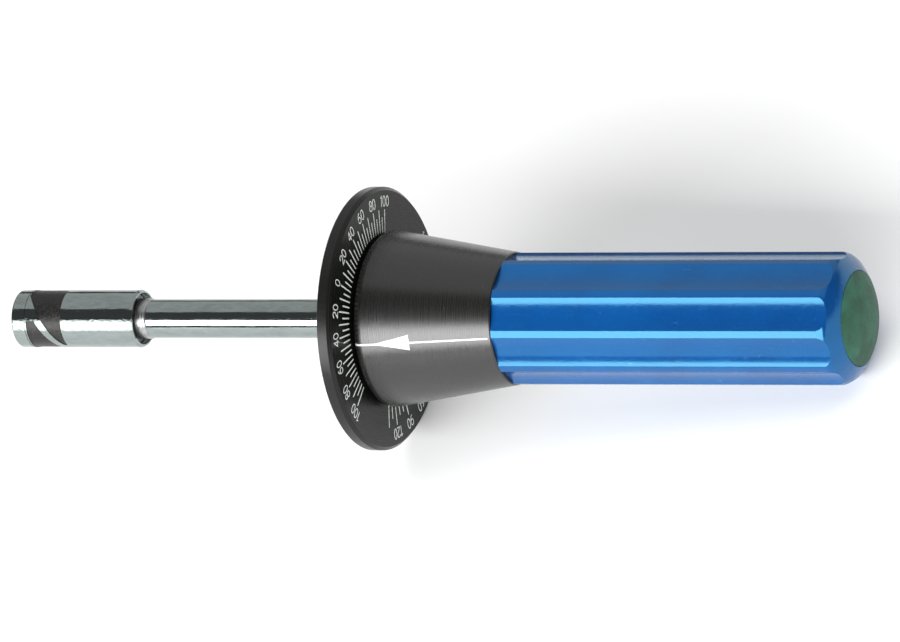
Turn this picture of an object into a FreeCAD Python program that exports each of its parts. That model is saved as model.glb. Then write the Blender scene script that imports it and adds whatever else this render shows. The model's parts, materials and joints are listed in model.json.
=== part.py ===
import FreeCAD, Part
import math
import os

from FreeCAD import Placement, Rotation, Vector

# Indicating torque screwdriver, in millimetres.
# It is drawn along its own axis, x running from the bit towards the handle with x = 0 on the
# dial's marked face, and is laid down at the end: the dial's rim and two ribs of the grip touch
# the floor. A bearing is the angle round the axis from +y towards +z, in degrees, so 90 is up.

# ---- Driving sizes: measuring range ----
full_scale_torque = 1.0         # N m, either way
full_scale_twist = 70.0         # degrees of dial for the full torque
stop_twist = 75.0               # degrees at which the stop pin ends the twist
shear_modulus = 79300.0         # N/mm2, spring steel
reading_at_rest = 50            # the pointer stands here, in centinewton metres

# ---- Driving sizes: fits ----
seat_gap = 0.02                 # radial, pieces pressed or screwed together
running_gap = 0.03              # radial, a shaft in its bush
thrust_gap = 0.06               # axial, between faces that rub
dial_gap = 0.5                  # between the dial and the pointer cone

# ---- Driving sizes: handle ----
grip_radius = 13.4
grip_length = 78.16
corner_radius = 2.6             # where the side turns into the domed end
dome_radius = 19.2
flute_count = 10
flute_span = 29.0               # degrees of the round that one flute takes
flute_depth = 0.9
rib_edge_radius = 0.35
bar_passage_radius = 2.5
ring_room_radius = 6.5          # where the spindle's rear end and its ring turn
spindle_end_room = 0.8
plug_width = 13.0               # across flats
plug_length = 12.0
plug_setback = 11.7             # from the plug's rear face to the tip of the dome
plug_screw_pitch = 5.0
cap_radius = 9.6
cap_edge = 1.65                 # height of the cap's rim
cap_spigot_radius = 8.0
cap_spigot_length = 5.9
cap_wall = 1.5
cap_groove = 0.12               # the fine line round the cap

# ---- Driving sizes: pointer cone ----
cone_length = 29.0
cone_front_radius = 18.4
cone_rear_radius = 13.55
cone_edge_radius = 1.8
cone_rear_chamfer = 0.2
cone_recess_radius = 9.5
cone_recess_depth = 3.3
cone_bulkhead = 9.2
pointer_bearing = 147.4
coupling_radius = 10.0
coupling_wall = 2.0
coupling_length = 19.0
coupling_in_cone = 9.5

# ---- Driving sizes: dial ----
dial_radius = 27.0
dial_thickness = 2.85
dial_chamfer = 0.7
mark_width = 0.4
mark_depth = 0.1
mark_inner_radius = 17.6
long_mark_radius = 22.4
short_mark_radius = 20.8
fine_step = 5                   # centinewton metres between marks
second_step = 10                # inch ounces between marks of the second scale
second_end = 140
second_major = 30
inch_ounces_per_unit = 1.416    # in one centinewton metre

# ---- Driving sizes: spindle and what it carries ----
spindle_radius = 4.05
spindle_front = -53.36          # face of the chuck's neck
spindle_rear = 40.0
stub_radius = 2.5
stub_length = 5.0
bar_bore_radius = 1.25
bar_seat_length = 6.0
hub_radius = 8.5
hub_length = 6.5
hub_spigot_radius = 5.6
hub_spigot_length = 5.05        # through the dial and on into the cone
pin_radius = 0.6
hub_screw_radius = 1.5
screw_socket_width = 1.5        # across flats of every grub screw's key socket
bush_wall = 1.45
bush_flange = 2.4
bush_flange_thickness = 1.0
rear_bush_length = 7.0
washer_thickness = 0.5
ring_thickness = 0.7
ring_depth = 0.45
ring_height = 1.6
ring_opening = 50.0             # degrees left open in each retaining ring
stop_plate_radius = 9.2
stop_plate_thickness = 3.5
stop_pin_radius = 1.0
stop_pin_orbit = 7.0
stop_pin_depth = 5.0

# ---- Driving sizes: chuck ----
hex_width = 6.45                # across flats, for quarter inch bits
socket_depth = 23.5
chuck_radius = 4.55
neck_radius = 4.2
neck_chamfer = 0.3
collar_radius = 5.2
collar_length = 1.4
collar_setback = 5.4            # from the collar's front face to the neck's end
nose_setback = 0.45             # chuck body behind the sleeve's nose
ball_radius = 1.0
ball_setback = 16.0             # from the sleeve's nose
ball_orbit = 3.55
sleeve_radius = 6.02
sleeve_length = 28.1
sleeve_travel = 3.0
nose_edge_radius = 0.6
sleeve_chamfer = 0.5
nose_recess_radius = 5.1
nose_recess_depth = 1.9
nose_ring_length = 3.12
nose_groove_width = 0.16
nose_groove_depth = 0.14
band_start = 3.52
band_end = 11.6
band_floor_radius = 5.28
band_sink = 0.15                # inlay below the sleeve's surface
rib_width = 1.67                # along the axis
rib_lead = 22.5
rib_count = 2
rib_bearing = 131.3             # of the first rib's middle, rib_place behind the nose
rib_place = 6.0
pocket_corner_radius = 0.45
relief_start = 11.8
relief_end = 14.2
relief_radius = 5.3
spring_start = 18.2
spring_bore_radius = 5.35
spring_wire_width = 0.5         # along the axis
spring_wire_height = 0.45
spring_turns = 4

# ---- Places along the axis that follow from the sizes ----
rim_rear = -dial_chamfer
dial_front = -dial_thickness
cone_front = dial_gap
cone_rear = cone_front + cone_length
grip_front = cone_rear
grip_end = grip_front + grip_length
dome_centre_reach = math.sqrt((dome_radius - corner_radius) ** 2
                              - (grip_radius - corner_radius) ** 2)
corner_start = grip_end - dome_radius + dome_centre_reach
dome_centre = corner_start - dome_centre_reach
cap_rim = dome_centre + math.sqrt(dome_radius ** 2 - cap_radius ** 2)
cap_seat = cap_rim - cap_edge
plug_rear = grip_end - plug_setback
plug_front = plug_rear - plug_length
bulkhead_front = cone_front + cone_recess_depth
bulkhead_rear = bulkhead_front + cone_bulkhead
coupling_front = cone_rear - coupling_in_cone
coupling_rear = coupling_front + coupling_length
hub_front = dial_front - hub_length
spigot_end = dial_front + hub_spigot_length
dial_ring_front = spigot_end - 0.3 - ring_thickness
bar_front = hub_front + 0.5
pin_place = bar_front + 3.0
bar_rear = plug_rear - 1.0
rear_bush_front = coupling_rear - rear_bush_length - 1.0
rear_bush_rear = rear_bush_front + rear_bush_length
spindle_ring_front = rear_bush_rear + washer_thickness + 2 * thrust_gap
stop_plate_front = bulkhead_rear + 0.8
nose = spindle_front - 2.4 - sleeve_length
chuck_front = nose + nose_setback
collar_front = spindle_front - collar_setback
snap_ring_front = chuck_front + 0.5
bush_bore_radius = spindle_radius + running_gap
sleeve_bore_radius = chuck_radius + running_gap
front_bush_radius = spindle_radius + bush_wall
coupling_bore_radius = coupling_radius - coupling_wall

# The torsion bar's thickness follows from the torque, the twist and its free length.
bar_free_length = plug_front - pin_place
bar_radius = 0.5 * (32 * full_scale_torque * 1000 * bar_free_length
                    / (math.pi * shear_modulus * math.radians(full_scale_twist))) ** 0.25


# ---- Ways of making shapes ----
def spoke(bearing):
    """Unit vector that points outwards from the axis at a bearing."""
    angle = math.radians(bearing)
    return Vector(0, math.cos(angle), math.sin(angle))


def turned(outline):
    """A lathe-turned solid: a closed outline of (x, radius) corners, spun round the axis.

    An entry of the form (middle, end), two points, is an arc through the middle.
    """
    edges = []
    here = outline[0]
    for entry in outline[1:] + outline[:1]:
        if isinstance(entry[0], tuple):
            middle, end = entry
            arc = Part.Arc(Vector(here[0], 0, here[1]), Vector(middle[0], 0, middle[1]),
                           Vector(end[0], 0, end[1]))
            edges.append(arc.toShape())
        else:
            end = entry
            edges.append(Part.makeLine(Vector(here[0], 0, here[1]), Vector(end[0], 0, end[1])))
        here = end
    face = Part.Face(Part.Wire(edges))
    return face.revolve(Vector(0, 0, 0), Vector(1, 0, 0), 360)


def rod(start, end, radius):
    """A round bar along the axis."""
    return Part.makeCylinder(radius, end - start, Vector(start, 0, 0), Vector(1, 0, 0))


def tube(start, end, inner, outer):
    """A plain ring or tube round the axis."""
    return turned([(start, inner), (start, outer), (end, outer), (end, inner)])


def radial_rod(place, bearing, inner, outer, radius):
    """A round bar that points away from the axis, between two distances from it."""
    direction = spoke(bearing)
    return Part.makeCylinder(radius, outer - inner, Vector(place, 0, 0) + direction * inner, direction)


def hexagon(start, end, width, turn=0.0):
    """A six-sided bar along the axis, with two of its flats across the bearing of the turn."""
    corner = width / math.sqrt(3)
    points = [Vector(start, 0, 0) + spoke(turn + 60 * i) * corner for i in range(7)]
    return Part.Face(Part.makePolygon(points)).extrude(Vector(end - start, 0, 0))


def round_pattern(shape, count):
    """Copies of a shape, evenly spaced round the axis."""
    copies = []
    for i in range(count):
        copy = shape.copy()
        copy.rotate(Vector(0, 0, 0), Vector(1, 0, 0), 360.0 * i / count)
        copies.append(copy)
    return copies


def retaining_ring(start, shaft_radius, opening_bearing):
    """An open spring ring that sits in a groove of a shaft."""
    inner = shaft_radius - ring_depth + seat_gap
    outer = shaft_radius + ring_height
    ring = tube(start, start + ring_thickness, inner, outer)
    half = math.radians(ring_opening / 2)
    wedge = Part.Face(Part.makePolygon([
        Vector(start - 1, 0, 0),
        Vector(start - 1, 2 * outer * math.cos(half), 2 * outer * math.sin(half)),
        Vector(start - 1, 2 * outer * math.cos(half), -2 * outer * math.sin(half)),
        Vector(start - 1, 0, 0)])).extrude(Vector(ring_thickness + 2, 0, 0))
    wedge.rotate(Vector(0, 0, 0), Vector(1, 0, 0), opening_bearing)
    return ring.cut(wedge)


def ring_groove(start, shaft_radius):
    """What a retaining ring's groove takes out of a shaft."""
    return tube(start - thrust_gap, start + ring_thickness + thrust_gap,
                shaft_radius - ring_depth, shaft_radius + 1)


def grub_screw(place, bearing, inner, outer, radius):
    """A headless screw with a hexagon key socket in its outer end."""
    screw = radial_rod(place, bearing, inner, outer, radius)
    socket = hexagon(0, 2 * radius, screw_socket_width)
    socket.rotate(Vector(0, 0, 0), Vector(0, 0, 1), 90)
    socket.rotate(Vector(0, 0, 0), Vector(1, 0, 0), bearing)
    socket.translate(Vector(place, 0, 0) + spoke(bearing) * (outer - radius))
    return screw.cut(socket)


# ---- Handle ----
def make_grip():
    """Moulded handle: ten scooped flutes that run out on a domed end."""
    fillet_turn = math.atan2(dome_centre_reach, grip_radius - corner_radius)
    blend = (corner_start + corner_radius * math.sin(fillet_turn),
             grip_radius - corner_radius + corner_radius * math.cos(fillet_turn))
    blend_middle = (corner_start + corner_radius * math.sin(fillet_turn / 2),
                    grip_radius - corner_radius + corner_radius * math.cos(fillet_turn / 2))
    dome_slope = math.atan2(blend[1], blend[0] - dome_centre)
    dome_middle = (dome_centre + dome_radius * math.cos(dome_slope / 2),
                   dome_radius * math.sin(dome_slope / 2))
    body = turned([(grip_front, 0), (grip_front, grip_radius), (corner_start, grip_radius),
                   (blend_middle, blend), (dome_middle, (grip_end, 0))])

    chord_half = grip_radius * math.sin(math.radians(flute_span / 2))
    scoop_height = flute_depth - grip_radius * (1 - math.cos(math.radians(flute_span / 2)))
    scoop_radius = (chord_half ** 2 + scoop_height ** 2) / (2 * scoop_height)
    scoop_centre = grip_radius - flute_depth + scoop_radius
    start = grip_front - 1
    length = grip_length + 2
    scoop = Part.makeCylinder(scoop_radius, length, Vector(start, 0, 0) + spoke(90) * scoop_centre,
                              Vector(1, 0, 0))
    fluted = rod(start, start + length, grip_radius).cut(round_pattern(scoop, flute_count))
    rib_edges = [edge for edge in fluted.Edges
                 if abs(edge.BoundBox.XLength - length) < 0.01 and len(edge.Vertexes) == 2
                 and is_rib_edge(edge)]
    fluted = fluted.makeFillet(rib_edge_radius, rib_edges)
    body = body.common(fluted)

    bores = [rod(grip_front - 1, coupling_rear + 0.2, coupling_radius + seat_gap),
             rod(coupling_rear, spindle_rear + spindle_end_room, ring_room_radius),
            rod(grip_front, plug_rear, bar_passage_radius),
             hexagon(plug_front, grip_end, plug_width + 2 * seat_gap),
             rod(plug_rear, grip_end + 1, cap_spigot_radius + seat_gap),
             rod(cap_seat, grip_end + 1, cap_radius + cap_groove)]
    return body.cut(bores)


def is_rib_edge(edge):
    """Whether a long edge is one of the two that a flute leaves on its ribs."""
    point = edge.Vertexes[0].Point
    bearing = math.degrees(math.atan2(point.z, point.y)) - 90
    pitch = 360.0 / flute_count
    off_flute = abs((bearing + pitch / 2) % pitch - pitch / 2)
    return abs(off_flute - flute_span / 2) < 0.5


def make_end_cap():
    """Domed cap that carries on the line of the handle, with a hollow spigot."""
    slope = math.asin(cap_radius / dome_radius)
    middle = (dome_centre + dome_radius * math.cos(slope / 2), dome_radius * math.sin(slope / 2))
    spigot_end_x = cap_seat - cap_spigot_length
    spigot_bore = cap_spigot_radius - cap_wall
    return turned([(cap_seat, 0), (cap_seat, spigot_bore), (spigot_end_x, spigot_bore),
                   (spigot_end_x, cap_spigot_radius - 0.4), (spigot_end_x + 0.4, cap_spigot_radius),
                   (cap_seat, cap_spigot_radius), (cap_seat, cap_radius), (cap_rim, cap_radius),
                   (middle, (grip_end, 0))])


def make_anchor_plug():
    """Steel block keyed into the handle, which holds the torsion bar's end."""
    plug = hexagon(plug_front, plug_rear, plug_width)
    plug = plug.cut(rod(plug_front - 1, plug_rear + 1, bar_radius + running_gap))
    for place in plug_screw_places():
        plug = plug.cut(radial_rod(place, 90, 0, plug_width, hub_screw_radius + seat_gap))
    return plug


def plug_screw_places():
    """Where the two screws sit along the anchor plug."""
    middle = (plug_front + plug_rear) / 2
    return [middle - plug_screw_pitch / 2, middle + plug_screw_pitch / 2]


def make_anchor_screws():
    """Two grub screws that clamp the torsion bar."""
    screws = [grub_screw(place, 90, bar_radius + thrust_gap, plug_width / 2 - 0.3, hub_screw_radius)
              for place in plug_screw_places()]
    return Part.makeCompound(screws)


# ---- Pointer cone and its bearings ----
def make_pointer_cone():
    """Turned cone that carries the pointer line and closes the handle."""
    lean = math.atan2(cone_front_radius - cone_rear_radius, cone_length)
    edge_x = cone_front + cone_edge_radius
    edge_r = (cone_front_radius - cone_edge_radius * math.tan(lean)
              - cone_edge_radius / math.cos(lean))
    turn_end = math.pi / 2 - lean
    turn_middle = (math.pi + turn_end) / 2

    def on_edge(angle):
        return (edge_x + cone_edge_radius * math.cos(angle),
                edge_r + cone_edge_radius * math.sin(angle))

    cone = turned([(cone_front, cone_recess_radius), (cone_front, edge_r),
                   (on_edge(turn_middle), on_edge(turn_end)),
                   (cone_rear - cone_rear_chamfer,
                    cone_rear_radius + cone_rear_chamfer * math.tan(lean)),
                   (cone_rear, cone_rear_radius - cone_rear_chamfer),
                   (cone_rear, coupling_radius + seat_gap), (bulkhead_rear, coupling_radius + seat_gap),
                   (bulkhead_rear, front_bush_radius + seat_gap),
                   (bulkhead_front, front_bush_radius + seat_gap),
                   (bulkhead_front, cone_recess_radius)])
    pin_hole = Part.makeCylinder(stop_pin_radius + seat_gap, stop_pin_depth + 1,
                                 Vector(bulkhead_rear - stop_pin_depth, 0, 0)
                                 + spoke(pointer_bearing) * stop_pin_orbit, Vector(1, 0, 0))
    return cone.cut(pin_hole)


def make_coupling_ring():
    """Threaded ring that joins the cone to the handle and houses the rear bush."""
    return tube(coupling_front, coupling_rear, coupling_bore_radius, coupling_radius)


def make_front_bush():
    """Flanged bronze bush in the cone's bulkhead; its flange takes the push on the tool."""
    flange_front = bulkhead_front - bush_flange_thickness
    return turned([(flange_front, bush_bore_radius), (flange_front, spindle_radius + bush_flange),
                   (bulkhead_front, spindle_radius + bush_flange),
                   (bulkhead_front, front_bush_radius), (bulkhead_rear, front_bush_radius),
                   (bulkhead_rear, bush_bore_radius)])


def make_rear_bush():
    """Bronze bush in the coupling ring, which steadies the spindle's rear end."""
    return tube(rear_bush_front, rear_bush_rear, bush_bore_radius, coupling_bore_radius - seat_gap)


def make_stop_pin():
    """Pin in the bulkhead that runs in the stop plate's slot."""
    return Part.makeCylinder(stop_pin_radius, stop_pin_depth + stop_plate_thickness + 1.2,
                             Vector(bulkhead_rear - stop_pin_depth, 0, 0)
                             + spoke(pointer_bearing) * stop_pin_orbit, Vector(1, 0, 0))


# ---- Spindle and what turns with it ----
def make_spindle():
    """Hollow chromed shaft from the chuck to the rear bush."""
    spindle = turned([(spindle_front - stub_length, 0), (spindle_front - stub_length, stub_radius),
                      (spindle_front, stub_radius), (spindle_front, spindle_radius),
                      (spindle_rear - 0.3, spindle_radius), (spindle_rear, spindle_radius - 0.3),
                      (spindle_rear, 0)])
    cuts = [rod(bar_front + bar_seat_length, spindle_rear + 1, bar_bore_radius),
            rod(bar_front, spindle_rear, bar_radius + seat_gap),
            radial_rod(pin_place, 0, -spindle_radius - 1, spindle_radius + 1, pin_radius + seat_gap),
            ring_groove(spindle_ring_front, spindle_radius)]
    return spindle.cut(cuts)


def make_torsion_bar():
    """Spring steel bar whose twist measures the torque."""
    bar = rod(bar_front, bar_rear, bar_radius)
    return bar.cut(radial_rod(pin_place, 0, -bar_radius - 1, bar_radius + 1, pin_radius + seat_gap))


def make_bar_pin():
    """Cross pin that ties the torsion bar to the spindle."""
    return radial_rod(pin_place, 0, -spindle_radius, spindle_radius, pin_radius)


def make_dial_hub():
    """Collar on the spindle whose spigot the dial turns on."""
    hub = turned([(hub_front + 0.5, spindle_radius + seat_gap), (hub_front, spindle_radius + 0.5),
                  (hub_front, hub_radius - 0.5), (hub_front + 0.5, hub_radius),
                  (dial_front, hub_radius), (dial_front, hub_spigot_radius),
                  (spigot_end, hub_spigot_radius), (spigot_end, spindle_radius + seat_gap)])
    hole = radial_rod(hub_screw_place(), 270, spindle_radius - 1, hub_radius + 1,
                      hub_screw_radius + seat_gap)
    return hub.cut([ring_groove(dial_ring_front, hub_spigot_radius), hole])


def hub_screw_place():
    """Middle of the hub's collar, where its screw sits."""
    return (hub_front + dial_front) / 2


def make_hub_screw():
    """Grub screw that holds the hub on the spindle."""
    return grub_screw(hub_screw_place(), 270, spindle_radius + seat_gap, hub_radius - 0.4,
                      hub_screw_radius)


def make_disc_spring():
    """Dished washer that gives the dial its friction."""
    bore = hub_spigot_radius + 0.1
    reach = 2.3
    thickness = 0.3
    rise = dial_ring_front - thickness - 2 * seat_gap
    return turned([(rise + seat_gap, bore), (seat_gap, bore + reach),
                   (seat_gap + thickness, bore + reach), (rise + seat_gap + thickness, bore)])


def make_thrust_washer(start, inner, outer):
    """Flat washer between faces that rub."""
    return tube(start, start + washer_thickness, inner, outer)


def make_stop_plate():
    """Plate pressed on the spindle; the pin ends the twist at the ends of its slot."""
    plate = tube(stop_plate_front, stop_plate_front + stop_plate_thickness,
                 spindle_radius + seat_gap, stop_plate_radius)
    pin_half = math.degrees(math.asin((stop_pin_radius + running_gap) / stop_pin_orbit))
    half_slot = stop_twist + pin_half + 0.5
    slot_inner = stop_pin_orbit - stop_pin_radius - 0.1
    slot_outer = stop_pin_orbit + stop_pin_radius + 0.1
    outline = Part.Face(Part.Wire([
        Part.Arc(*[Vector(stop_plate_front - 1, 0, 0) + spoke(pointer_bearing + turn) * slot_outer
                   for turn in (-half_slot, 0, half_slot)]).toShape(),
        Part.makeLine(*[Vector(stop_plate_front - 1, 0, 0) + spoke(pointer_bearing + half_slot) * r
                        for r in (slot_outer, slot_inner)]),
        Part.Arc(*[Vector(stop_plate_front - 1, 0, 0) + spoke(pointer_bearing + turn) * slot_inner
                   for turn in (half_slot, 0, -half_slot)]).toShape(),
        Part.makeLine(*[Vector(stop_plate_front - 1, 0, 0) + spoke(pointer_bearing - half_slot) * r
                        for r in (slot_inner, slot_outer)])]))
    return plate.cut(outline.extrude(Vector(stop_plate_thickness + 2, 0, 0)))


# ---- Dial ----
def mark(bearing, outer):
    """The shallow groove of one scale mark."""
    groove = Part.makeBox(2 * mark_depth, mark_width, outer - mark_inner_radius,
                          Vector(-mark_depth, -mark_width / 2, mark_inner_radius))
    groove.rotate(Vector(0, 0, 0), Vector(1, 0, 0), bearing - 90)
    return groove


def scale_zero():
    """Bearing of the main scale's zero: the pointer stands at the reading at rest."""
    return pointer_bearing - reading_at_rest * full_scale_twist / (100 * full_scale_torque)


def make_dial():
    """Disc with a main scale of centinewton metres and, opposite, one of inch ounces."""
    dial = turned([(dial_front, hub_spigot_radius + running_gap), (dial_front, dial_radius - 0.15),
                   (dial_front + 0.15, dial_radius), (rim_rear, dial_radius),
                   (0, dial_radius - dial_chamfer), (0, hub_spigot_radius + running_gap)])
    degrees_per_unit = full_scale_twist / (100 * full_scale_torque)
    full_scale = round(100 * full_scale_torque)
    marks = []
    for value in range(-full_scale, full_scale + 1, fine_step):
        outer = long_mark_radius if value % (2 * fine_step) == 0 else short_mark_radius
        marks.append(mark(scale_zero() + value * degrees_per_unit, outer))
    second_degrees = degrees_per_unit / inch_ounces_per_unit
    for value in range(-second_end, second_end + 1, second_step):
        is_long = value % second_major == 0 or abs(value) == second_end
        outer = long_mark_radius if is_long else short_mark_radius
        marks.append(mark(scale_zero() + 180 + value * second_degrees, outer))
    return dial.cut(marks)


# ---- Chuck ----
def make_chuck_body():
    """Socket for quarter inch bits, with a collar for the spring and a neck on the spindle."""
    body = turned([(chuck_front, 0), (chuck_front, chuck_radius - 0.3),
                   (chuck_front + 0.3, chuck_radius), (collar_front, chuck_radius),
                   (collar_front, collar_radius), (collar_front + collar_length, collar_radius),
                   (collar_front + collar_length, neck_radius),
                   (spindle_front - neck_chamfer, neck_radius),
                   (spindle_front, neck_radius - neck_chamfer), (spindle_front, 0)])
    mouth = turned([(chuck_front - 0.1, 0), (chuck_front - 0.1, hex_width / math.sqrt(3) + 0.1),
                    (chuck_front + 0.9, hex_width / 2 - 0.1), (chuck_front + 0.9, 0)])
    cuts = [hexagon(chuck_front - 1, chuck_front + socket_depth, hex_width),
            mouth,
            rod(spindle_front - stub_length, spindle_front + 1, stub_radius + seat_gap),
            tube(snap_ring_front - thrust_gap, snap_ring_front + 0.5 + thrust_gap,
                 chuck_radius - 0.3, chuck_radius + 1)]
    ball_hole = radial_rod(nose + ball_setback, 90, 0, chuck_radius + 1, ball_radius + running_gap)
    return body.cut(cuts + round_pattern(ball_hole, 2))


def make_bit_balls():
    """Two balls that catch the groove of a bit."""
    ball = Part.makeSphere(ball_radius, Vector(nose + ball_setback, 0, 0) + spoke(90) * ball_orbit)
    return Part.makeCompound(round_pattern(ball, 2))


def make_snap_ring():
    """Ring in the chuck's nose that keeps the sleeve on."""
    inner = chuck_radius - 0.3 + seat_gap
    ring = tube(snap_ring_front, snap_ring_front + 0.5, inner, nose_recess_radius - 0.25)
    slit = Part.makeBox(2, 1.2, 4, Vector(snap_ring_front - 1, -0.6, inner - 1))
    return ring.cut(slit)


def make_nose_washer():
    """Washer between the snap ring and the sleeve."""
    start = snap_ring_front + 0.5 + thrust_gap
    return tube(start, nose + nose_recess_depth - thrust_gap, chuck_radius + running_gap,
                nose_recess_radius - 0.1)


def helical_ribs():
    """Bars of rectangular section that wind round the axis across the sleeve's band."""
    first = nose + band_start - 1
    bearing = rib_bearing + (first - nose - rib_place) * 360.0 / rib_lead
    helix = Part.makeHelix(rib_lead, band_end - band_start + 2, band_floor_radius)
    helix.rotate(Vector(0, 0, 0), Vector(0, 1, 0), 90)
    helix.rotate(Vector(0, 0, 0), Vector(1, 0, 0), bearing + 90)
    helix.translate(Vector(first, 0, 0))
    section = Part.makePolygon([
        Vector(first + along, 0, 0) + spoke(bearing) * radius
        for along, radius in ((-rib_width / 2, band_floor_radius - 0.5),
                              (rib_width / 2, band_floor_radius - 0.5),
                              (rib_width / 2, sleeve_radius + 0.5),
                              (-rib_width / 2, sleeve_radius + 0.5),
                              (-rib_width / 2, band_floor_radius - 0.5))])
    rib = Part.Wire(helix.Edges).makePipeShell([section], True, True)
    return round_pattern(rib, rib_count)


def make_pockets():
    """The two recesses that the ribs leave in the sleeve's band."""
    band = tube(nose + band_start, nose + band_end, band_floor_radius, sleeve_radius + 0.2)
    pockets = band.cut(helical_ribs())
    corners = [edge for edge in pockets.Edges if is_pocket_corner(edge)]
    return pockets.makeFillet(pocket_corner_radius, corners)


def is_pocket_corner(edge):
    """Whether an edge is a straight one that points away from the axis."""
    if len(edge.Vertexes) != 2:
        return False
    ends = [vertex.Point for vertex in edge.Vertexes]
    rise = abs(math.hypot(ends[0].y, ends[0].z) - math.hypot(ends[1].y, ends[1].z))
    return rise > 0.5 and abs(ends[0].x - ends[1].x) < 0.01


def make_chuck_sleeve(pockets):
    """Sliding sleeve: nose ring, groove, band of helical ribs, then the plain barrel."""
    edge = nose_edge_radius
    slope = edge * (1 - math.cos(math.pi / 4))
    rear = nose + sleeve_length
    sleeve = turned([(nose, nose_recess_radius + 0.2), (nose, sleeve_radius - edge),
                     ((nose + slope, sleeve_radius - slope), (nose + edge, sleeve_radius)),
                     (rear - sleeve_chamfer, sleeve_radius), (rear, sleeve_radius - 0.65 * sleeve_chamfer),
                     (rear, spring_bore_radius), (nose + spring_start, spring_bore_radius),
                     (nose + spring_start, sleeve_bore_radius), (nose + relief_end, sleeve_bore_radius),
                     (nose + relief_end, relief_radius), (nose + relief_start, relief_radius),
                     (nose + relief_start, sleeve_bore_radius),
                     (nose + nose_recess_depth, sleeve_bore_radius),
                     (nose + nose_recess_depth, nose_recess_radius),
                     (nose + 0.2, nose_recess_radius)])
    groove = tube(nose + nose_ring_length, nose + nose_ring_length + nose_groove_width,
                  sleeve_radius - nose_groove_depth, sleeve_radius + 1)
    return sleeve.cut([groove, pockets])


def make_sleeve_inlays(pockets):
    """Two dark plastic inlays moulded into the band between the ribs."""
    ring = tube(nose + band_start - 1, nose + band_end + 1, band_floor_radius,
                sleeve_radius - band_sink)
    inlays = pockets.common(ring)
    return Part.makeCompound(inlays.Solids)


def make_sleeve_spring():
    """Flat-wire coil between the sleeve's shoulder and the body's collar."""
    start = nose + spring_start + spring_wire_width / 2 + thrust_gap
    end = collar_front - spring_wire_width / 2 - thrust_gap
    middle_radius = (chuck_radius + spring_bore_radius) / 2
    helix = Part.makeHelix((end - start) / spring_turns, end - start, middle_radius)
    helix.rotate(Vector(0, 0, 0), Vector(0, 1, 0), 90)
    helix.translate(Vector(start, 0, 0))
    section = Part.makePolygon([
        Vector(start + along * spring_wire_width / 2, 0, 0)
        + spoke(270) * (middle_radius + out * spring_wire_height / 2)
        for along, out in ((-1, -1), (1, -1), (1, 1), (-1, 1), (-1, -1))])
    return Part.Wire(helix.Edges).makePipeShell([section], True, True)


# ---- Lying at rest ----
def rest_tilt():
    """Angle of the axis, in degrees, with the dial's rim and two ribs on the floor."""
    lean_in = math.cos(math.radians(flute_span / 2))
    low, high = 0.0, math.radians(45)
    for _ in range(50):
        tilt = (low + high) / 2
        rim_drop = dial_radius * math.cos(tilt) + rim_rear * math.sin(tilt)
        rib_drop = (corner_start * math.sin(tilt)
                    + (grip_radius - corner_radius) * lean_in * math.cos(tilt)
                    + corner_radius * math.hypot(math.sin(tilt), lean_in * math.cos(tilt)))
        if rib_drop < rim_drop:
            low = tilt
        else:
            high = tilt
    return math.degrees((low + high) / 2)


def resting_placement():
    """Tilts the tool handle-down and puts the origin under the middle of its length."""
    tilt = rest_tilt()
    cosine = math.cos(math.radians(tilt))
    sine = math.sin(math.radians(tilt))
    edge = nose_edge_radius
    nose_reach = (nose + edge) * cosine - (sleeve_radius - edge) * sine - edge
    dome_reach = dome_centre * cosine + dome_radius
    floor = -dial_radius * cosine - rim_rear * sine
    return Placement(Vector(-(nose_reach + dome_reach) / 2, 0, -floor),
                     Rotation(Vector(0, 1, 0), tilt))


pockets = make_pockets()
sub_parts = {
    "grip": make_grip(),
    "end_cap": make_end_cap(),
    "anchor_plug": make_anchor_plug(),
    "anchor_screws": make_anchor_screws(),
    "pointer_cone": make_pointer_cone(),
    "coupling_ring": make_coupling_ring(),
    "front_bush": make_front_bush(),
    "rear_bush": make_rear_bush(),
    "stop_pin": make_stop_pin(),
    "spindle": make_spindle(),
    "torsion_bar": make_torsion_bar(),
    "bar_pin": make_bar_pin(),
    "dial_hub": make_dial_hub(),
    "hub_screw": make_hub_screw(),
    "disc_spring": make_disc_spring(),
    "dial_ring": retaining_ring(dial_ring_front, hub_spigot_radius, 90),
    "front_thrust_washer": make_thrust_washer(spigot_end + thrust_gap, spindle_radius + 0.1,
                                              spindle_radius + bush_flange),
    "rear_thrust_washer": make_thrust_washer(rear_bush_rear + thrust_gap, spindle_radius + 0.1,
                                             spindle_radius + 3),
    "spindle_ring": retaining_ring(spindle_ring_front, spindle_radius, 90),
    "stop_plate": make_stop_plate(),
    "dial": make_dial(),
    "chuck_body": make_chuck_body(),
    "bit_balls": make_bit_balls(),
    "snap_ring": make_snap_ring(),
    "nose_washer": make_nose_washer(),
    "chuck_sleeve": make_chuck_sleeve(pockets),
    "sleeve_inlays": make_sleeve_inlays(pockets),
    "sleeve_spring": make_sleeve_spring(),
}

os.makedirs("parts", exist_ok=True)
placement = resting_placement()
for name, shape in sub_parts.items():
    laid = shape.copy()
    laid.Placement = placement.multiply(laid.Placement)
    laid.exportStep("parts/" + name + ".step")
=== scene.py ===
import json
import math

import bpy
import numpy as np
from mathutils import Matrix, Vector


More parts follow.
